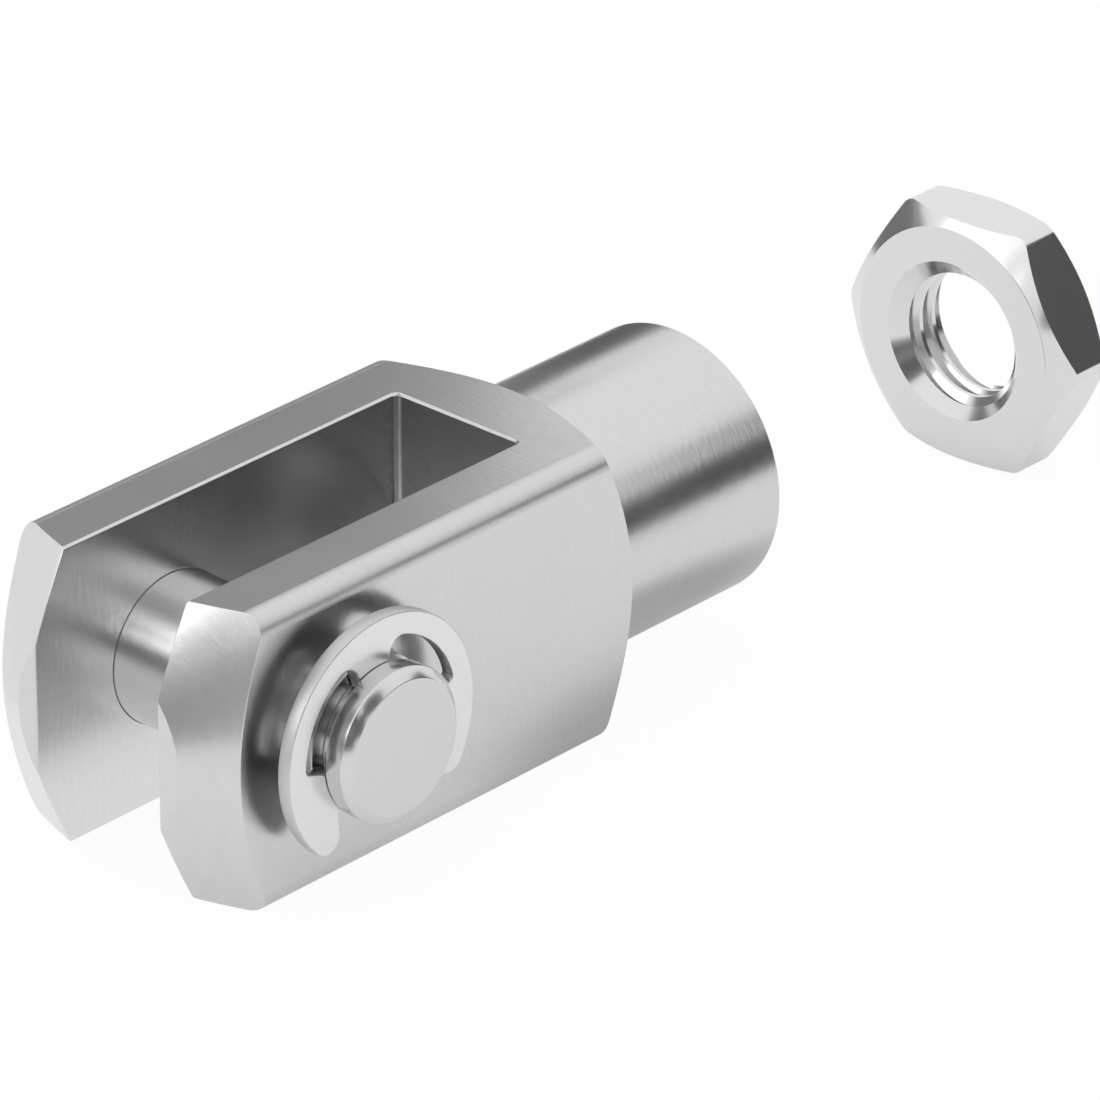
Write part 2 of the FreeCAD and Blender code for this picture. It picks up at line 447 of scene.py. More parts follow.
@dataclass
class ForkBody:
    """The clevis body: a square bar with a turned nose and shank, a slot and two holes."""

    thread: RodThread
    width: float = 20.0
    edge_rounding: float = 1.4
    edge_strips: int = 10
    nose_reach: float = 11.5
    nose_disc: float = 6.7
    nose_angle: float = 30.0
    shank_end: float = 40.0
    shank_length: float = 14.3
    shank_radius: float = 9.0
    shank_bevel: float = 0.1
    shoulder_angle: float = 33.0
    slot_width: float = 10.25
    slot_bottom: float = 20.0
    slot_bevel: float = 0.14
    slot_corner: float = 0.5
    slot_corner_strips: int = 6
    hole_radius: float = 5.02
    hole_bevel: float = 0.15
    edge_softness: float = 0.05
    segments: int = 240

    def bar(self) -> Shape:
        """Makes the square bar with its four long edges rounded.

        Returns:
            The bar.
        """
        half = self.width / 2
        low = Vector((-self.nose_reach, -half, -half))
        high = Vector((self.shank_end, half, half))
        piece = block("clevis_body_visual", low, high)
        bevel_edges(
            piece,
            self.edge_rounding,
            self.edge_strips,
            lambda a, b: abs(a.x - b.x) > self.width,
        )
        return piece

    def envelope(self) -> Shape:
        """Turns the nose's disc and cone, the full corners, the shoulder cone and the shank.

        Returns:
            The solid inside which the bar is kept.
        """
        corner = self.width * math.sqrt(0.5)
        nose_cone = (corner - self.nose_disc) * math.tan(math.radians(self.nose_angle))
        slope = math.tan(math.radians(self.shoulder_angle))
        shoulder_cone = (corner - self.shank_radius) * slope
        shoulder = self.shank_end - self.shank_length
        stations = [
            (-self.nose_reach, self.nose_disc),
            (-self.nose_reach + nose_cone, corner),
            (shoulder - shoulder_cone, corner),
            (shoulder, self.shank_radius),
            (self.shank_end - self.shank_bevel, self.shank_radius),
            (self.shank_end, self.shank_radius - self.shank_bevel),
        ]
        return turned("envelope", Axis.X, Vector(), stations, self.segments)

    def open_slot(self, piece: Shape) -> None:
        """Opens the fork from the front with a block that flares at both flats.

        Args:
            piece: The fork.
        """
        half = self.slot_width / 2
        top = self.width / 2
        low = Vector((-self.nose_reach - PAST, -half, -top - PAST))
        high = Vector((self.slot_bottom, half, top + PAST))
        cutter = block("slot", low, high)
        bevel_edges(
            cutter,
            self.slot_corner,
            self.slot_corner_strips,
            lambda a, b: abs(a.z - b.z) > self.width and a.x > 0,
        )
        with editing(cutter):
            for level in (-top, -top + self.slot_bevel, top - self.slot_bevel, top):
                select_everything()
                bpy.ops.mesh.bisect(
                    plane_co=(0.0, 0.0, level), plane_no=(0.0, 0.0, 1.0), threshold=ON_PLANE
                )
            select_corners(cutter, lambda place: abs(place.z) > top - NEAR)
            size = high - low
            grown = [1 + 2 * self.slot_bevel / size.x, 1 + 2 * self.slot_bevel / size.y, 1.0]
            bpy.ops.transform.resize(value=grown, center_override=(low + high) / 2)
        combine(piece, cutter, Cut.REMOVE)

    def cross_drill(self, piece: Shape) -> None:
        """Drills the pin's hole through both ears, with a bevel at each outer mouth.

        Args:
            piece: The fork.
        """
        half = self.width / 2
        wide = self.hole_radius + self.hole_bevel
        stations = [
            (-half - PAST, wide + PAST),
            (-half + self.hole_bevel, self.hole_radius),
            (half - self.hole_bevel, self.hole_radius),
            (half + PAST, wide + PAST),
        ]
        drill = turned("drill", Axis.Y, Vector(), stations, self.segments // 2)
        combine(piece, drill, Cut.REMOVE)

    def build(self, material: Material) -> Shape:
        """Models and dresses the fork.

        Args:
            material: The fork's finish.

        Returns:
            The finished piece.
        """
        piece = self.bar()
        combine(piece, self.envelope(), Cut.KEEP_INSIDE)
        self.open_slot(piece)
        self.cross_drill(piece)
        soften(piece, self.edge_softness)
        self.thread.countersink(piece, self.shank_end, -1.0, 0.0)
        self.thread.cut(piece, self.slot_bottom, self.shank_end, 0.0)
        return finish(piece, "fork", "clevis_body", material)


@dataclass
class ClevisPin:
    """The pin: a plain shaft with a bevel and a clip groove at each end."""

    radius: float = 5.0
    middle: float = -0.65
    half_length: float = 13.75
    end_bevel: float = 0.6
    groove_radius: float = 4.0
    groove_wall: float = 10.8
    groove_width: float = 1.1
    edge_softness: float = 0.06
    segments: int = 160

    def build(self, material: Material) -> Shape:
        """Turns and dresses the pin.

        Args:
            material: The pin's finish.

        Returns:
            The finished piece.
        """
        outer = self.groove_wall + self.groove_width
        half = [
            (self.groove_wall, self.radius),
            (self.groove_wall, self.groove_radius),
            (outer, self.groove_radius),
            (outer, self.radius),
            (self.half_length - self.end_bevel, self.radius),
            (self.half_length, self.radius - self.end_bevel),
        ]
        other = [(-place, radius) for place, radius in reversed(half)]
        centre = Vector((0.0, self.middle, 0.0))
        piece = turned("clevis_pin_visual", Axis.Y, centre, other + half, self.segments)
        soften(piece, self.edge_softness)
        return finish(piece, "pin", "clevis_pin", material)


@dataclass
class RetainingClip:
    """An open spring ring: three lobes grip the pin's groove, with recesses between them.

    Its outline is worked out in its own plane, square to the pin, from radii about the
    pin's axis and angles in degrees from the middle of its closed back.
    """

    side: int
    node: str
    radius: float = 8.0
    grip: float = 4.03
    recess: float = 6.5
    thickness: float = 1.0
    pin_middle: float = -0.65
    station: float = 10.85
    lobe: float = 31.0
    end_lobe_slant: float = 12.5
    jaw_gap: float = 6.52
    mouth_width: float = 8.6
    back_direction: float = 97.5
    tip_rounding: float = 1.1
    recess_rounding: float = 1.0
    corner_rounding: float = 0.4
    rim_rounding: float = 0.12
    segments: int = 180

    @property
    def centre(self) -> Vector:
        """The point on the pin's axis in the middle of its thickness."""
        along = self.pin_middle + self.side * (self.station + self.thickness / 2)
        return Axis.Y.vector * along

    @property
    def opening(self) -> Vector:
        """The way from its centre out through the middle of its mouth."""
        return (self.place(1.0, 180.0) - self.centre).normalized()

    def place(self, radius: float, angle: float) -> Vector:
        """The point at a radius and an angle from the clip's back."""
        turn = math.radians(self.back_direction + angle)
        return self.centre + Vector((radius * math.cos(turn), 0.0, radius * math.sin(turn)))

    def disc(self, name: str, radius: float, centre: Vector, extra: float) -> Shape:
        """Makes a disc about a line along Y, in the clip's plane.

        Args:
            name: The disc's name.
            radius: Its radius in millimetres.
            centre: Its middle.
            extra: How far it reaches past each of the clip's faces.

        Returns:
            The disc.
        """
        reach = self.thickness / 2 + extra
        return turned(name, Axis.Y, centre, [(-reach, radius), (reach, radius)], self.segments)

    def trim(self, piece: Shape, point: Vector, outward: Vector) -> None:
        """Cuts off all of a cutter that lies beyond a plane.

        Args:
            piece: The cutter.
            point: A point of the plane.
            outward: The way out of what is kept.
        """
        with editing(piece):
            slice_off(point, outward)
            face_outwards()

    def square_to(self, direction: Vector, towards: Vector) -> Vector:
        """The unit vector in the clip's plane square to one direction, on another's side."""
        normal = Vector((direction.z, 0.0, -direction.x)).normalized()
        return normal if normal.dot(towards) > 0 else -normal

    def round_corner(
        self, piece: Shape, corner: Vector, inward: Vector, radius: float, rounding: float
    ) -> None:
        """Rounds the corner where a straight side meets a round rim.

        Args:
            piece: The clip or a cutter, whose rim lies about the pin's axis.
            corner: The sharp corner.
            inward: The way from the straight side into the piece.
            radius: The rim's radius.
            rounding: The corner's own radius.
        """
        arm = corner - self.centre
        along = self.square_to(inward, arm)
        depth = arm.dot(inward) + rounding
        reach = math.sqrt((radius - rounding) ** 2 - depth**2)
        centre = self.centre + inward * depth + along * reach
        scrap = self.disc("scrap", (corner - centre).length + PAST, centre, PAST / 2)
        self.trim(scrap, centre, -along)
        rim_side = self.square_to(centre - self.centre, inward)
        self.trim(scrap, centre, rim_side)
        combine(scrap, self.disc("round", rounding, centre, PAST), Cut.REMOVE)
        combine(piece, scrap, Cut.REMOVE)

    def recess_cutter(self, sign: int, jaw: float) -> Shape:
        """Makes the cutter for the recess on one side of the back lobe.

        Args:
            sign: +1 or -1, which side.
            jaw: Angle of the jaw's end.

        Returns:
            The cutter, its two outer corners rounded.
        """
        back = sign * self.lobe / 2
        end_outer = sign * (jaw - self.lobe - self.end_lobe_slant)
        end_inner = sign * (jaw - self.lobe)
        cutter = self.disc("recess", self.recess, self.centre, PAST)
        first = self.place(self.recess, back)
        second = self.place(self.recess, end_outer)
        side = second - self.place(self.grip, end_inner)
        inward_first = self.square_to(first - self.centre, second - first)
        inward_second = self.square_to(side, first - second)
        self.trim(cutter, first, -inward_first)
        self.trim(cutter, second, -inward_second)
        self.round_corner(cutter, first, inward_first, self.recess, self.recess_rounding)
        self.round_corner(cutter, second, inward_second, self.recess, self.corner_rounding)
        return cutter

    def mouth_cutter(self, jaw: float) -> Shape:
        """Makes the cutter for the opening: a wedge from the pin's axis, then two parallel sides.

        Args:
            jaw: Angle of the jaw's end.

        Returns:
            The cutter.
        """
        cutter = self.disc("mouth", self.radius + PAST, self.centre, PAST)
        for sign in (-1, 1):
            edge = self.place(1.0, sign * jaw) - self.centre
            outward = self.square_to(edge, -self.opening)
            self.trim(cutter, self.centre, outward)
            across = self.square_to(self.opening, edge)
            self.trim(cutter, self.centre + across * self.mouth_width / 2, across)
        return cutter

    def build(self, material: Material) -> Shape:
        """Models and dresses the clip.

        Args:
            material: The clip's finish.

        Returns:
            The finished piece.
        """
        jaw = 180.0 - math.degrees(math.asin(self.jaw_gap / 2 / self.grip))
        tip = 180.0 - math.degrees(math.asin(self.mouth_width / 2 / self.radius))
        piece = self.disc(self.node + "_visual", self.radius, self.centre, 0.0)
        combine(piece, self.disc("bore", self.grip, self.centre, PAST), Cut.REMOVE)
        combine(piece, self.mouth_cutter(jaw), Cut.REMOVE)
        for sign in (-1, 1):
            corner = self.place(self.radius, sign * tip)
            inward = self.square_to(self.opening, corner - self.centre)
            self.round_corner(piece, corner, inward, self.radius, self.tip_rounding)
            combine(piece, self.recess_cutter(sign, jaw), Cut.REMOVE)
        soften(piece, self.rim_rounding, segments=3, angle=35.0)
        return finish(piece, "pin", self.node, material, smooth_angle=30.0)


@dataclass
class LockNut:
    """Thin hexagon nut, chamfered and countersunk on both faces, standing on one flat."""

    thread: RodThread
    sides: int = 6
    across_flats: float = 17.0
    thickness: float = 5.0
    face_inset: float = 0.6
    chamfer_angle: float = 33.0
    corner_rounding: float = 1.0
    corner_strips: int = 6
    near_face: float = 67.3
    floor: float = -10.0
    edge_softness: float = 0.05
    segments: int = 180

    def build(self, material: Material) -> Shape:
        """Models and dresses the nut.

        Args:
            material: The nut's finish.

        Returns:
            The finished piece.
        """
        flat = self.across_flats / 2
        half_side = math.pi / self.sides
        corner = flat / math.cos(half_side)
        axis_z = self.floor + flat
        far_face = self.near_face + self.thickness
        centre = Vector((0.0, 0.0, axis_z))
        prism = [(self.near_face - PAST, corner), (far_face + PAST, corner)]
        piece = turned("lock_nut_visual", Axis.X, centre, prism, self.sides)
        tangent = self.corner_rounding * math.tan(half_side)
        bevel_edges(
            piece,
            tangent,
            self.corner_strips,
            lambda a, b: abs(a.x - b.x) > self.thickness / 2,
        )
        face = flat - self.face_inset
        wide = corner + PAST
        depth = (wide - face) * math.tan(math.radians(self.chamfer_angle))
        barrel = [
            (self.near_face, face),
            (self.near_face + depth, wide),
            (far_face - depth, wide),
            (far_face, face),
        ]
        tool = turned("barrel", Axis.X, centre, barrel, self.segments)
        soften(tool, self.edge_softness)
        with editing(tool):
            select_everything()
            bpy.ops.transform.rotate(
                value=math.pi / self.segments, orient_axis="X", center_override=centre
            )
        combine(piece, tool, Cut.KEEP_INSIDE)
        for mouth, inward in ((self.near_face, 1.0), (far_face, -1.0)):
            self.thread.countersink(piece, mouth, inward, axis_z)
        self.thread.cut(piece, self.near_face, far_face, axis_z)
        return finish(piece, "nut", "lock_nut", material)


# Finishes

# What a finish's colour is multiplied by in each zone.
# Painted shade in the slot, where the ears shade each other; the far ear's inner wall is left out.
SLOT_PAINTED_SHADE = 0.62
# Painted shade on the clips' backs, in the gap where they face the ears.
CLIP_BACK_PAINTED_SHADE = 0.38
CLIP_RIM_SHADE = 0.85
# What is added to a finish's roughness in each zone.
EDGE_ROUGHENING = 0.14
CLIP_RIM_ROUGHENING = 0.25
# How far the limits of the zones stand off the faces that they follow, in millimetres.
WALL_MARGIN = 0.025
FAR_WALL_MARGIN = 0.125
BOTTOM_MARGIN = 0.05
CLIP_BACK_MARGIN = 0.05
CLIP_RIM_MARGIN = 0.07
# How high the tool marks stand, in millimetres.
GRAIN_HEIGHT = 0.04
# How much more blue than red and green the steel is.
COLD_CAST = 1.005


def socket(group: NodeTree, name: str, direction: str, value: float | None = None) -> None:
    """Adds a socket for a number to a node group.

    Args:
        group: The node group.
        name: The socket's name.
        direction: INPUT or OUTPUT.
        value: Its default.
    """
    made = group.interface.new_socket(
        name=name, in_out=direction, socket_type="NodeSocketFloat"
    )
    if value is not None:
        made.default_value = value


def grain_group() -> NodeTree:
    """Tool marks that run square to the X axis, shared by every steel finish.

    Returns:
        A group with the inputs Fineness, Length and Smudge Size, which puts out a fine
        Grain and a broad Smudge, both from 0 to 1.
    """
    group = bpy.data.node_groups.new("tool_marks", "ShaderNodeTree")
    socket(group, "Fineness", "INPUT", 5000.0)
    socket(group, "Length", "INPUT", 90.0)
    socket(group, "Smudge Size", "INPUT", 160.0)
    for name in ("Grain", "Smudge"):
        socket(group, name, "OUTPUT")
    nodes, links = group.nodes, group.links
    entry = nodes.new("NodeGroupInput")
    leave = nodes.new("NodeGroupOutput")
    place = nodes.new("ShaderNodeTexCoord")
    stretch = nodes.new("ShaderNodeCombineXYZ")
    links.new(entry.outputs["Fineness"], stretch.inputs["X"])
    links.new(entry.outputs["Length"], stretch.inputs["Y"])
    links.new(entry.outputs["Length"], stretch.inputs["Z"])
    scaled = nodes.new("ShaderNodeVectorMath")
    scaled.operation = "MULTIPLY"
    links.new(place.outputs["Object"], scaled.inputs[0])
    links.new(stretch.outputs["Vector"], scaled.inputs[1])
    grain = nodes.new("ShaderNodeTexNoise")
    grain.inputs["Scale"].default_value = 1.0
    grain.inputs["Detail"].default_value = 3.0
    grain.inputs["Roughness"].default_value = 0.6
    links.new(scaled.outputs["Vector"], grain.inputs["Vector"])
    links.new(grain.outputs["Fac"], leave.inputs["Grain"])
    smudge = nodes.new("ShaderNodeTexNoise")
    smudge.inputs["Detail"].default_value = 2.0
    links.new(place.outputs["Object"], smudge.inputs["Vector"])
    links.new(entry.outputs["Smudge Size"], smudge.inputs["Scale"])
    links.new(smudge.outputs["Fac"], leave.inputs["Smudge"])
    return group


@dataclass(frozen=True)
class SteelFinish:
    """A bright steel surface with tool marks and faint smudges."""

    name: str
    tone: float
    tone_change: float
    roughness: float
    roughness_change: float
    bump: float
    fineness: float = 3000.0
    length: float = 800.0
    smudge_size: float = 160.0

    def material(self, group: NodeTree) -> Material:
        """Builds the finish.

        Args:
            group: The shared tool marks.

        Returns:
            The material.
        """
        steel = bpy.data.materials.new(self.name)
        steel.use_nodes = True
        nodes, links = steel.node_tree.nodes, steel.node_tree.links
        surface = nodes["Principled BSDF"]
        surface.inputs["Metallic"].default_value = 1.0
        marks = nodes.new("ShaderNodeGroup")
        marks.node_tree = group
        marks.inputs["Fineness"].default_value = self.fineness
        marks.inputs["Length"].default_value = self.length
        marks.inputs["Smudge Size"].default_value = self.smudge_size
        colour = nodes.new("ShaderNodeMix")
        colour.data_type = "RGBA"
        low = self.tone - self.tone_change
        colour.inputs["A"].default_value = (low, low, low, 1.0)
        colour.inputs["B"].default_value = (self.tone, self.tone, self.tone * COLD_CAST, 1.0)
        links.new(marks.outputs["Grain"], colour.inputs["Factor"])
        links.new(colour.outputs["Result"], surface.inputs["Base Color"])
        gloss = nodes.new("ShaderNodeMapRange")
        gloss.inputs["To Min"].default_value = self.roughness - self.roughness_change
        gloss.inputs["To Max"].default_value = self.roughness + self.roughness_change
        links.new(marks.outputs["Smudge"], gloss.inputs["Value"])
        links.new(gloss.outputs["Result"], surface.inputs["Roughness"])
        relief = nodes.new("ShaderNodeBump")
        relief.inputs["Strength"].default_value = self.bump
        relief.inputs["Distance"].default_value = GRAIN_HEIGHT * MM
        links.new(marks.outputs["Grain"], relief.inputs["Height"])
        links.new(relief.outputs["Normal"], surface.inputs["Normal"])
        return steel


class Zones:
    """A node group that marks zones of a piece by their place.

    Each of its masks is 1 inside the zone and 0 elsewhere.
    """

    def __init__(self, name: str, sizes: dict[str, float], masks: Sequence[str]) -> None:
        """Opens the group.

        Args:
            name: The group's name.
            sizes: Its inputs and their values in millimetres.
            masks: Its outputs.
        """
        self.tree = bpy.data.node_groups.new(name, "ShaderNodeTree")
        for size, value in sizes.items():
            socket(self.tree, size, "INPUT", value * MM)
        for mask in masks:
            socket(self.tree, mask, "OUTPUT")
        self.sizes = self.tree.nodes.new("NodeGroupInput").outputs
        self.masks = self.tree.nodes.new("NodeGroupOutput").inputs
        parts = self.tree.nodes.new("ShaderNodeSeparateXYZ")
        place = self.tree.nodes.new("ShaderNodeTexCoord")
        self.tree.links.new(place.outputs["Object"], parts.inputs[0])
        self.place = parts.outputs

    def work_out(self, operation: str, *sources: Socket) -> Socket:
        """Adds one step of arithmetic.

        Args:
            operation: The Math node's operation.
            sources: What it reads, in order.

        Returns:
            The socket with its result.
        """
        step = self.tree.nodes.new("ShaderNodeMath")
        step.operation = operation
        for entry, source in zip(step.inputs, sources):
            self.tree.links.new(source, entry)
        return step.outputs["Value"]

    def put_out(self, mask: str, source: Socket) -> None:
        """Links a result to one of the masks."""
        self.tree.links.new(source, self.masks[mask])


def fork_zones(fork: ForkBody) -> NodeTree:
    """Masks of the fork's slot, but for its far wall, and of its bar's rounded long edges.

    Args:
        fork: The fork, whose sizes set the limits.

    Returns:
        A group with the masks Slot and Edge.
    """
    half = fork.slot_width / 2
    sizes = {
        "Half Width": half + WALL_MARGIN,
        "Far Wall": half - FAR_WALL_MARGIN,
        "Bottom": fork.slot_bottom + BOTTOM_MARGIN,
        "Edge": fork.width - fork.edge_rounding,
    }
    zones = Zones("fork_zones", sizes, ("Slot", "Edge"))
    across = zones.work_out("ABSOLUTE", zones.place["Y"])
    height = zones.work_out("ABSOLUTE", zones.place["Z"])
    narrow = zones.work_out("LESS_THAN", across, zones.sizes["Half Width"])
    ahead = zones.work_out("LESS_THAN", zones.place["X"], zones.sizes["Bottom"])
    near = zones.work_out("LESS_THAN", zones.place["Y"], zones.sizes["Far Wall"])
    inside = zones.work_out("MULTIPLY", narrow, ahead)
    zones.put_out("Slot", zones.work_out("MULTIPLY", inside, near))
    total = zones.work_out("ADD", across, height)
    zones.put_out("Edge", zones.work_out("GREATER_THAN", total, zones.sizes["Edge"]))
    return zones.tree


def clip_zones(clip: RetainingClip) -> NodeTree:
    """Masks of the stamped clips' backs, which take painted shade, and of their sheared outer rims.

    Args:
        clip: Either clip, whose sizes set the limits.

    Returns:
        A group with the masks Back and Rim.
    """
    sizes = {
        "Middle": clip.pin_middle,
        "Reach": clip.station + CLIP_BACK_MARGIN,
        "Radius": clip.radius - CLIP_RIM_MARGIN,
    }
    zones = Zones("clip_zones", sizes, ("Back", "Rim"))
    away = zones.work_out("SUBTRACT", zones.place["Y"], zones.sizes["Middle"])
    reach = zones.work_out("ABSOLUTE", away)
    zones.put_out("Back", zones.work_out("LESS_THAN", reach, zones.sizes["Reach"]))
    width = zones.work_out("MULTIPLY", zones.place["X"], zones.place["X"])
    height = zones.work_out("MULTIPLY", zones.place["Z"], zones.place["Z"])
    span = zones.work_out("ADD", width, height)
    limit = zones.work_out("MULTIPLY", zones.sizes["Radius"], zones.sizes["Radius"])
    zones.put_out("Rim", zones.work_out("GREATER_THAN", span, limit))
    return zones.tree


def shade(steel: Material, mask: Socket, factor: float) -> None:
    """Multiplies a finish's colour where a mask is 1: painted shade in some zones, a duller finish in
    others.

    Args:
        steel: The finish.
        mask: The mask's socket in that material.
        factor: What the colour is multiplied by.
    """
    nodes, links = steel.node_tree.nodes, steel.node_tree.links
    tone = nodes["Principled BSDF"].inputs["Base Color"]
    dulling_and_shade = nodes.new("ShaderNodeMix")
    dulling_and_shade.data_type = "RGBA"
    dulling_and_shade.blend_type = "MULTIPLY"
    dulling_and_shade.inputs["B"].default_value = (factor, factor, factor, 1.0)
    links.new(mask, dulling_and_shade.inputs["Factor"])
    links.new(tone.links[0].from_socket, dulling_and_shade.inputs["A"])
    links.new(dulling_and_shade.outputs["Result"], tone)


def roughen(steel: Material, mask: Socket, more: float) -> None:
    """Adds to a finish's roughness where a mask is 1.

    Args:
        steel: The finish.
        mask: The mask's socket in that material.
        more: What is added to the roughness.
    """
    nodes, links = steel.node_tree.nodes, steel.node_tree.links
    gloss = nodes["Principled BSDF"].inputs["Roughness"]
    rub = nodes.new("ShaderNodeMath")
    rub.operation = "MULTIPLY_ADD"
    rub.inputs[1].default_value = more
    links.new(mask, rub.inputs[0])
    links.new(gloss.links[0].from_socket, rub.inputs[2])
    links.new(rub.outputs["Value"], gloss)


def dress_fork(steel: Material, group: NodeTree) -> None:
    """Paints shade into the slot, but for its far wall, and gives the tumbled long edges a softer
    gloss.

    Args:
        steel: The fork's finish.
        group: The masks of the two zones.
    """
    masks = steel.node_tree.nodes.new("ShaderNodeGroup")
    masks.node_tree = group
    # Painted shade: the slot's near wall and bottom are darkened where the ears shade each other.
    shade(steel, masks.outputs["Slot"], SLOT_PAINTED_SHADE)
    roughen(steel, masks.outputs["Edge"], EDGE_ROUGHENING)


def dress_clips(steel: Material, group: NodeTree) -> None:
    """Paints shade on the clips' backs, where they face the ears, and leaves their sheared rims matt.

    Args:
        steel: The clips' finish.
        group: The masks of the two zones.
    """
    masks = steel.node_tree.nodes.new("ShaderNodeGroup")
    masks.node_tree = group
    # Painted shade on the backs, in the gap between clip and ear.
    shade(steel, masks.outputs["Back"], CLIP_BACK_PAINTED_SHADE)
    shade(steel, masks.outputs["Rim"], CLIP_RIM_SHADE)
    roughen(steel, masks.outputs["Rim"], CLIP_RIM_ROUGHENING)


FORK_FINISH = SteelFinish("milled_steel", 0.71, 0.06, 0.26, 0.05, 0.2)
PIN_FINISH = SteelFinish("ground_steel", 0.70, 0.03, 0.22, 0.04, 0.15)
CLIP_FINISH = SteelFinish("spring_steel", 0.81, 0.03, 0.25, 0.04, 0.05)
NUT_FINISH = SteelFinish("polished_steel", 0.75, 0.02, 0.17, 0.03, 0.04)


# Studio


@dataclass(frozen=True)
class Card:
    """An upright card round the object; lengths are in millimetres.

    It stands at an azimuth and a distance from the origin. Left and right are measured
    along it as seen from the origin, low and high from the origin's height. Its tone is
    0 for black and 1 for white.
    """

    name: str
    azimuth: float
    distance: float
    left: float
    right: float
    low: float
    high: float
    tone: float


CARDS = [
    Card("right_card", 42.0, 200.0, -37.0, 115.0, -10.0, 56.0, 0.02),
    Card("right_tall_card", 42.0, 200.0, -115.0, -37.0, -10.0, 95.0, 0.09),
    Card("back_card", 138.2, 99.3, -42.0, 18.0, -10.0, 100.0, 0.32),
    Card("back_upper_card", 138.2, 99.3, 18.0, 25.5, 36.0, 100.0, 0.36),
    Card("back_low_card", 138.2, 99.3, 18.0, 42.0, -10.0, 36.0, 0.12),
    Card("back_high_card", 138.2, 99.3, 25.5, 42.0, 64.0, 95.0, 0.45),
    Card("far_card", 195.0, 60.0, 32.0, 90.0, -10.0, 26.0, 0.2),
    Card("left_card", -90.0, 60.0, -28.0, 60.0, -10.0, 22.0, 0.38),
    Card("low_camera_card", -46.0, 300.0, -70.0, 110.0, -10.0, 60.0, 0.13),
    Card("camera_card", -46.0, 300.0, -60.0, 100.0, 60.0, 140.0, 0.25),
    Card("camera_high_card", -46.0, 300.0, -60.0, 100.0, 140.0, 300.0, 0.12),
    Card("front_card", -27.0, 290.0, -47.0, 47.0, 40.0, 190.0, 0.12),
    Card("front_high_card", -6.0, 300.0, -95.0, 95.0, 150.0, 380.0, 0.12),
    Card("glint_card", 0.0, 12.0, 24.0, 36.0, 13.5, 40.0, 3.8),
    Card("glint_high_card", 0.0, 12.0, 18.8, 24.0, 21.8, 45.0, 3.8),
]


@dataclass(frozen=True)
class FloorPatch:
    """A patch laid just above the floor; lengths are in millimetres.

    X and Y give its middle, length and width its size along them, and lift the gap under
    it. Its tone is 1 for white.
    """

    name: str
    x: float
    y: float
    length: float
    width: float
    lift: float
    tone: float


# Painted light: a white patch under the slot and the far ear, where the fork shades the floor, that
# only the steel's reflections see. The contact shade is a painted shadow under the shank.
PAINTED_FLOOR_LIGHT = FloorPatch("painted_floor_light", 4.0, 10.0, 36.0, 28.0, 0.05, 1.0)
CONTACT_SHADE = FloorPatch("contact_shade", 30.0, -8.5, 46.0, 20.0, 0.1, 0.5)


@dataclass(frozen=True)
class Softbox:
    """A soft lamp that faces the origin; lengths are in millimetres.

    It hangs at an azimuth, counted from -Y towards +X, and an elevation, both in degrees.
    Its face's brightness is 1 for as bright as white surroundings.
    """

    azimuth: float
    elevation: float
    distance: float
    width: float
    height: float
    brightness: float


SIDE_SOFTBOX = Softbox(-118.0, 23.0, 500.0, 364.0, 170.0, 1.8)


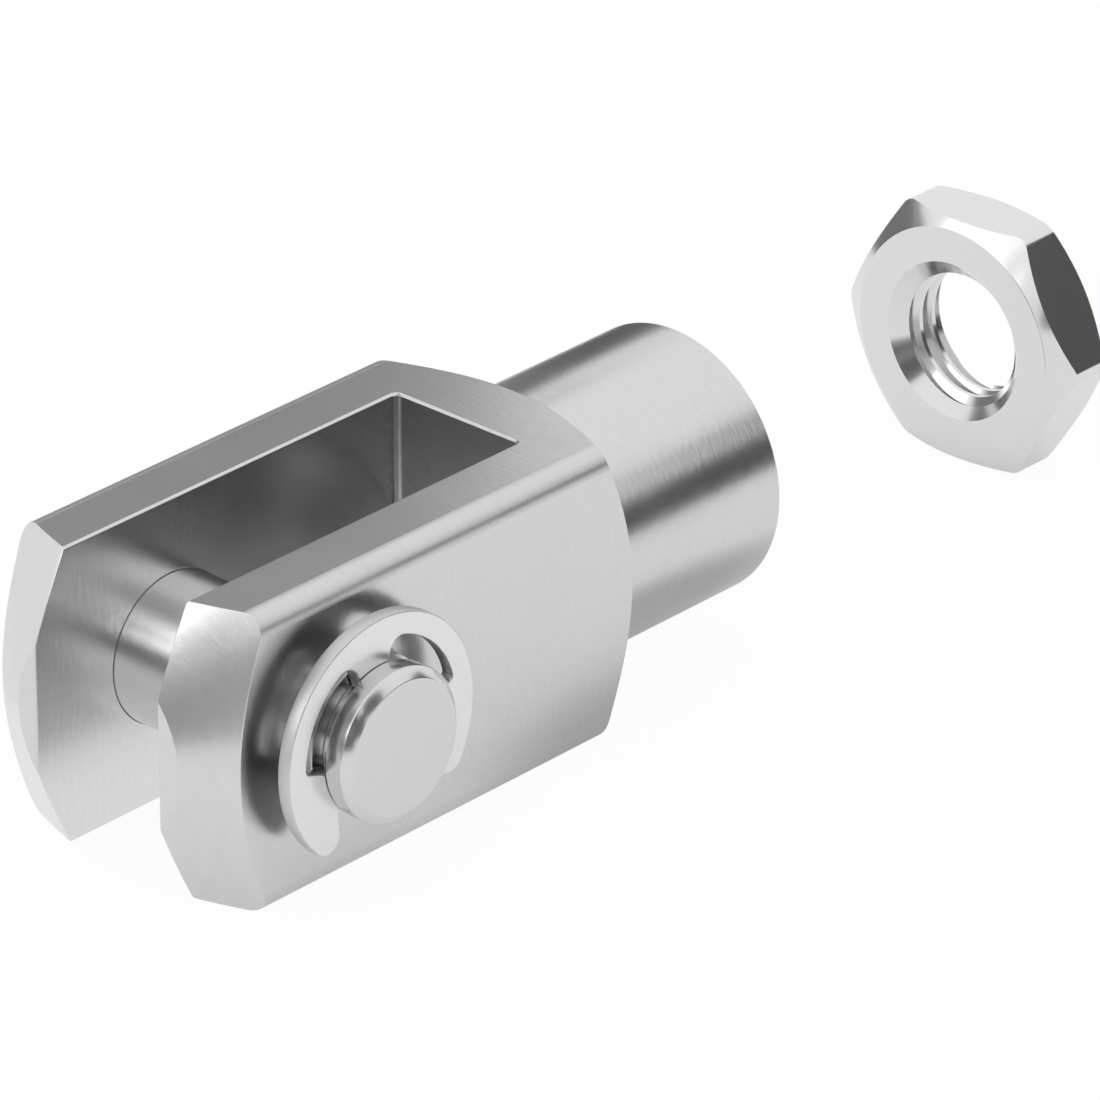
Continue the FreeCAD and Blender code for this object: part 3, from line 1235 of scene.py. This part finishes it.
@dataclass
class Studio:
    """Floor, lamp, cards and camera."""

    floor_height: float = -10.0
    floor_size: float = 6000.0
    floor_tone: float = 0.9
    full_shade: float = 0.55
    glow_seen: float = 0.95
    glow_reflected: float = 0.48
    azimuth: float = -47.547
    elevation: float = 26.753
    distance: float = 580.5 * MM
    focal_pixels: float = 9284.6
    picture_pixels: float = 1100.0
    target: Vector = field(default_factory=lambda: Vector((28.441, 0.0, -2.286)) * MM)
    sensor: float = 36.0
    nearest_seen: float = 10.0 * MM

    def direction(self, azimuth: float, elevation: float) -> Vector:
        """The way from the object towards an azimuth and elevation in degrees."""
        a, e = math.radians(azimuth), math.radians(elevation)
        return Vector((math.sin(a) * math.cos(e), -math.cos(a) * math.cos(e), math.sin(e)))

    def floor(self) -> None:
        """A wide pale floor level with the fork's lower flat."""
        deselect()
        bpy.ops.mesh.primitive_plane_add(
            size=self.floor_size * MM, location=(0.0, 0.0, self.floor_height * MM)
        )
        floor = bpy.context.active_object
        floor.name = "floor"
        paint = bpy.data.materials.new("floor_white")
        paint.use_nodes = True
        nodes, links = paint.node_tree.nodes, paint.node_tree.links
        surface = nodes["Principled BSDF"]
        tone = self.floor_tone
        surface.inputs["Base Color"].default_value = (tone, tone, tone, 1.0)
        surface.inputs["Roughness"].default_value = 1.0
        surface.inputs["Specular IOR Level"].default_value = 0.0
        glow = nodes.new("ShaderNodeEmission")
        seen = nodes.new("ShaderNodeLightPath")
        share = nodes.new("ShaderNodeMath")
        share.operation = "MULTIPLY"
        share.inputs[1].default_value = self.glow_reflected
        both = nodes.new("ShaderNodeMath")
        both.operation = "MULTIPLY_ADD"
        both.inputs[1].default_value = self.glow_seen
        mixed = nodes.new("ShaderNodeMixShader")
        links.new(seen.outputs["Is Glossy Ray"], share.inputs[0])
        links.new(seen.outputs["Is Camera Ray"], both.inputs[0])
        links.new(share.outputs["Value"], both.inputs[2])
        links.new(both.outputs["Value"], mixed.inputs["Fac"])
        links.new(surface.outputs["BSDF"], mixed.inputs[1])
        links.new(glow.outputs["Emission"], mixed.inputs[2])
        links.new(mixed.outputs["Shader"], nodes["Material Output"].inputs["Surface"])
        floor.data.materials.append(paint)

    def world(self) -> None:
        """Even white surroundings."""
        world = bpy.data.worlds.new("studio")
        world.use_nodes = True
        backdrop = world.node_tree.nodes["Background"]
        backdrop.inputs["Color"].default_value = (1.0, 1.0, 1.0, 1.0)
        backdrop.inputs["Strength"].default_value = 1.0
        bpy.context.scene.world = world

    def card(self, card: Card) -> None:
        """Stands a card round the object, seen by reflections alone.

        Args:
            card: Its place, size and tone.
        """
        ahead = self.direction(card.azimuth, 0.0)
        right = ahead.cross(Vector((0.0, 0.0, 1.0)))
        middle = ahead * card.distance + right * (card.left + card.right) / 2
        middle.z = (card.low + card.high) / 2
        deselect()
        bpy.ops.mesh.primitive_plane_add(
            size=1.0,
            location=middle * MM,
            rotation=(math.pi / 2, 0.0, math.radians(card.azimuth)),
        )
        plane = bpy.context.active_object
        plane.scale = ((card.right - card.left) * MM, (card.high - card.low) * MM, 1.0)
        self.paint_card(plane, card.name, card.tone)

    def lay(self, patch: FloorPatch) -> Shape:
        """Lays a patch on the floor, seen by reflections alone.

        Args:
            patch: Its place, size and tone.

        Returns:
            The patch, an even card.
        """
        middle = Vector((patch.x, patch.y, self.floor_height + patch.lift))
        deselect()
        bpy.ops.mesh.primitive_plane_add(size=2.0, location=middle * MM)
        plane = bpy.context.active_object
        plane.scale = (patch.length / 2 * MM, patch.width / 2 * MM, 1.0)
        self.paint_card(plane, patch.name, patch.tone)
        return plane

    def fade(self, plane: Shape) -> None:
        """Fades a card to nothing towards its rim, in a soft oval.

        Args:
            plane: The card, which reaches from -1 to 1 in its own coordinates.
        """
        tree = plane.active_material.node_tree
        nodes, links = tree.nodes, tree.links
        place = nodes.new("ShaderNodeTexCoord")
        oval = nodes.new("ShaderNodeTexGradient")
        oval.gradient_type = "SPHERICAL"
        cover = nodes.new("ShaderNodeMapRange")
        cover.interpolation_type = "SMOOTHSTEP"
        cover.inputs["From Max"].default_value = self.full_shade
        clear = nodes.new("ShaderNodeBsdfTransparent")
        mixed = nodes.new("ShaderNodeMixShader")
        links.new(place.outputs["Object"], oval.inputs["Vector"])
        links.new(oval.outputs["Fac"], cover.inputs["Value"])
        links.new(cover.outputs["Result"], mixed.inputs["Fac"])
        links.new(clear.outputs["BSDF"], mixed.inputs[1])
        links.new(nodes["Emission"].outputs["Emission"], mixed.inputs[2])
        links.new(mixed.outputs["Shader"], nodes["Material Output"].inputs["Surface"])

    def paint_card(self, plane: Shape, name: str, tone: float) -> None:
        """Makes a plane a card: an even tone that only the steel's reflections see.

        Args:
            plane: The plane.
            name: The card's name.
            tone: How bright it is, 0 for black and 1 for white.
        """
        plane.name = name
        paint = bpy.data.materials.new(name)
        paint.use_nodes = True
        nodes = paint.node_tree.nodes
        glow = nodes.new("ShaderNodeEmission")
        glow.inputs["Color"].default_value = (tone, tone, tone, 1.0)
        surface = nodes["Material Output"].inputs["Surface"]
        paint.node_tree.links.new(glow.outputs["Emission"], surface)
        plane.data.materials.append(paint)
        plane.visible_camera = False
        plane.visible_diffuse = False
        plane.visible_shadow = False

    def hang(self, box: Softbox) -> None:
        """Hangs a soft lamp.

        Args:
            box: Its place, size and brightness.
        """
        place = self.direction(box.azimuth, box.elevation) * box.distance * MM
        turn = (math.radians(90.0 - box.elevation), 0.0, math.radians(box.azimuth))
        deselect()
        bpy.ops.object.light_add(type="AREA", location=place, rotation=turn)
        lamp = bpy.context.active_object
        lamp.name = "softbox"
        lamp.data.shape = "RECTANGLE"
        lamp.data.size = box.width * MM
        lamp.data.size_y = box.height * MM
        lamp.data.energy = box.brightness * math.pi * lamp.data.size * lamp.data.size_y

    def camera(self) -> None:
        """The camera at the photograph's angle."""
        back = self.direction(self.azimuth, self.elevation)
        lens = bpy.data.cameras.new("camera")
        lens.sensor_width = self.sensor
        lens.lens = self.focal_pixels * self.sensor / self.picture_pixels
        lens.clip_start = self.nearest_seen
        camera = bpy.data.objects.new("camera", lens)
        bpy.context.scene.collection.objects.link(camera)
        camera.location = self.target + back * self.distance
        camera.rotation_euler = (math.radians(90.0 - self.elevation), 0.0, math.radians(self.azimuth))
        bpy.context.scene.camera = camera

    def build(self) -> None:
        """Sets up the whole studio."""
        self.floor()
        self.world()
        for card in CARDS:
            self.card(card)
        # Painted light under the slot, and a painted shadow under the shank.
        self.lay(PAINTED_FLOOR_LIGHT)
        self.fade(self.lay(CONTACT_SHADE))
        self.hang(SIDE_SOFTBOX)
        self.camera()
        bpy.context.scene.view_settings.view_transform = "Standard"


def main() -> None:
    """Builds every piece and the studio round it."""
    logging.basicConfig(level=logging.INFO, format="%(name)s %(message)s")
    group = grain_group()
    thread = RodThread()
    fork = ForkBody(thread)
    near_clip = RetainingClip(-1, "retaining_clip_near")
    far_clip = RetainingClip(1, "retaining_clip_far")
    fork_steel = FORK_FINISH.material(group)
    dress_fork(fork_steel, fork_zones(fork))
    pin_steel = PIN_FINISH.material(group)
    clip_steel = CLIP_FINISH.material(group)
    dress_clips(clip_steel, clip_zones(near_clip))
    nut_steel = NUT_FINISH.material(group)
    fork.build(fork_steel)
    ClevisPin().build(pin_steel)
    near_clip.build(clip_steel)
    far_clip.build(clip_steel)
    LockNut(thread).build(nut_steel)
    Studio().build()


if __name__ == "__main__":
    main()
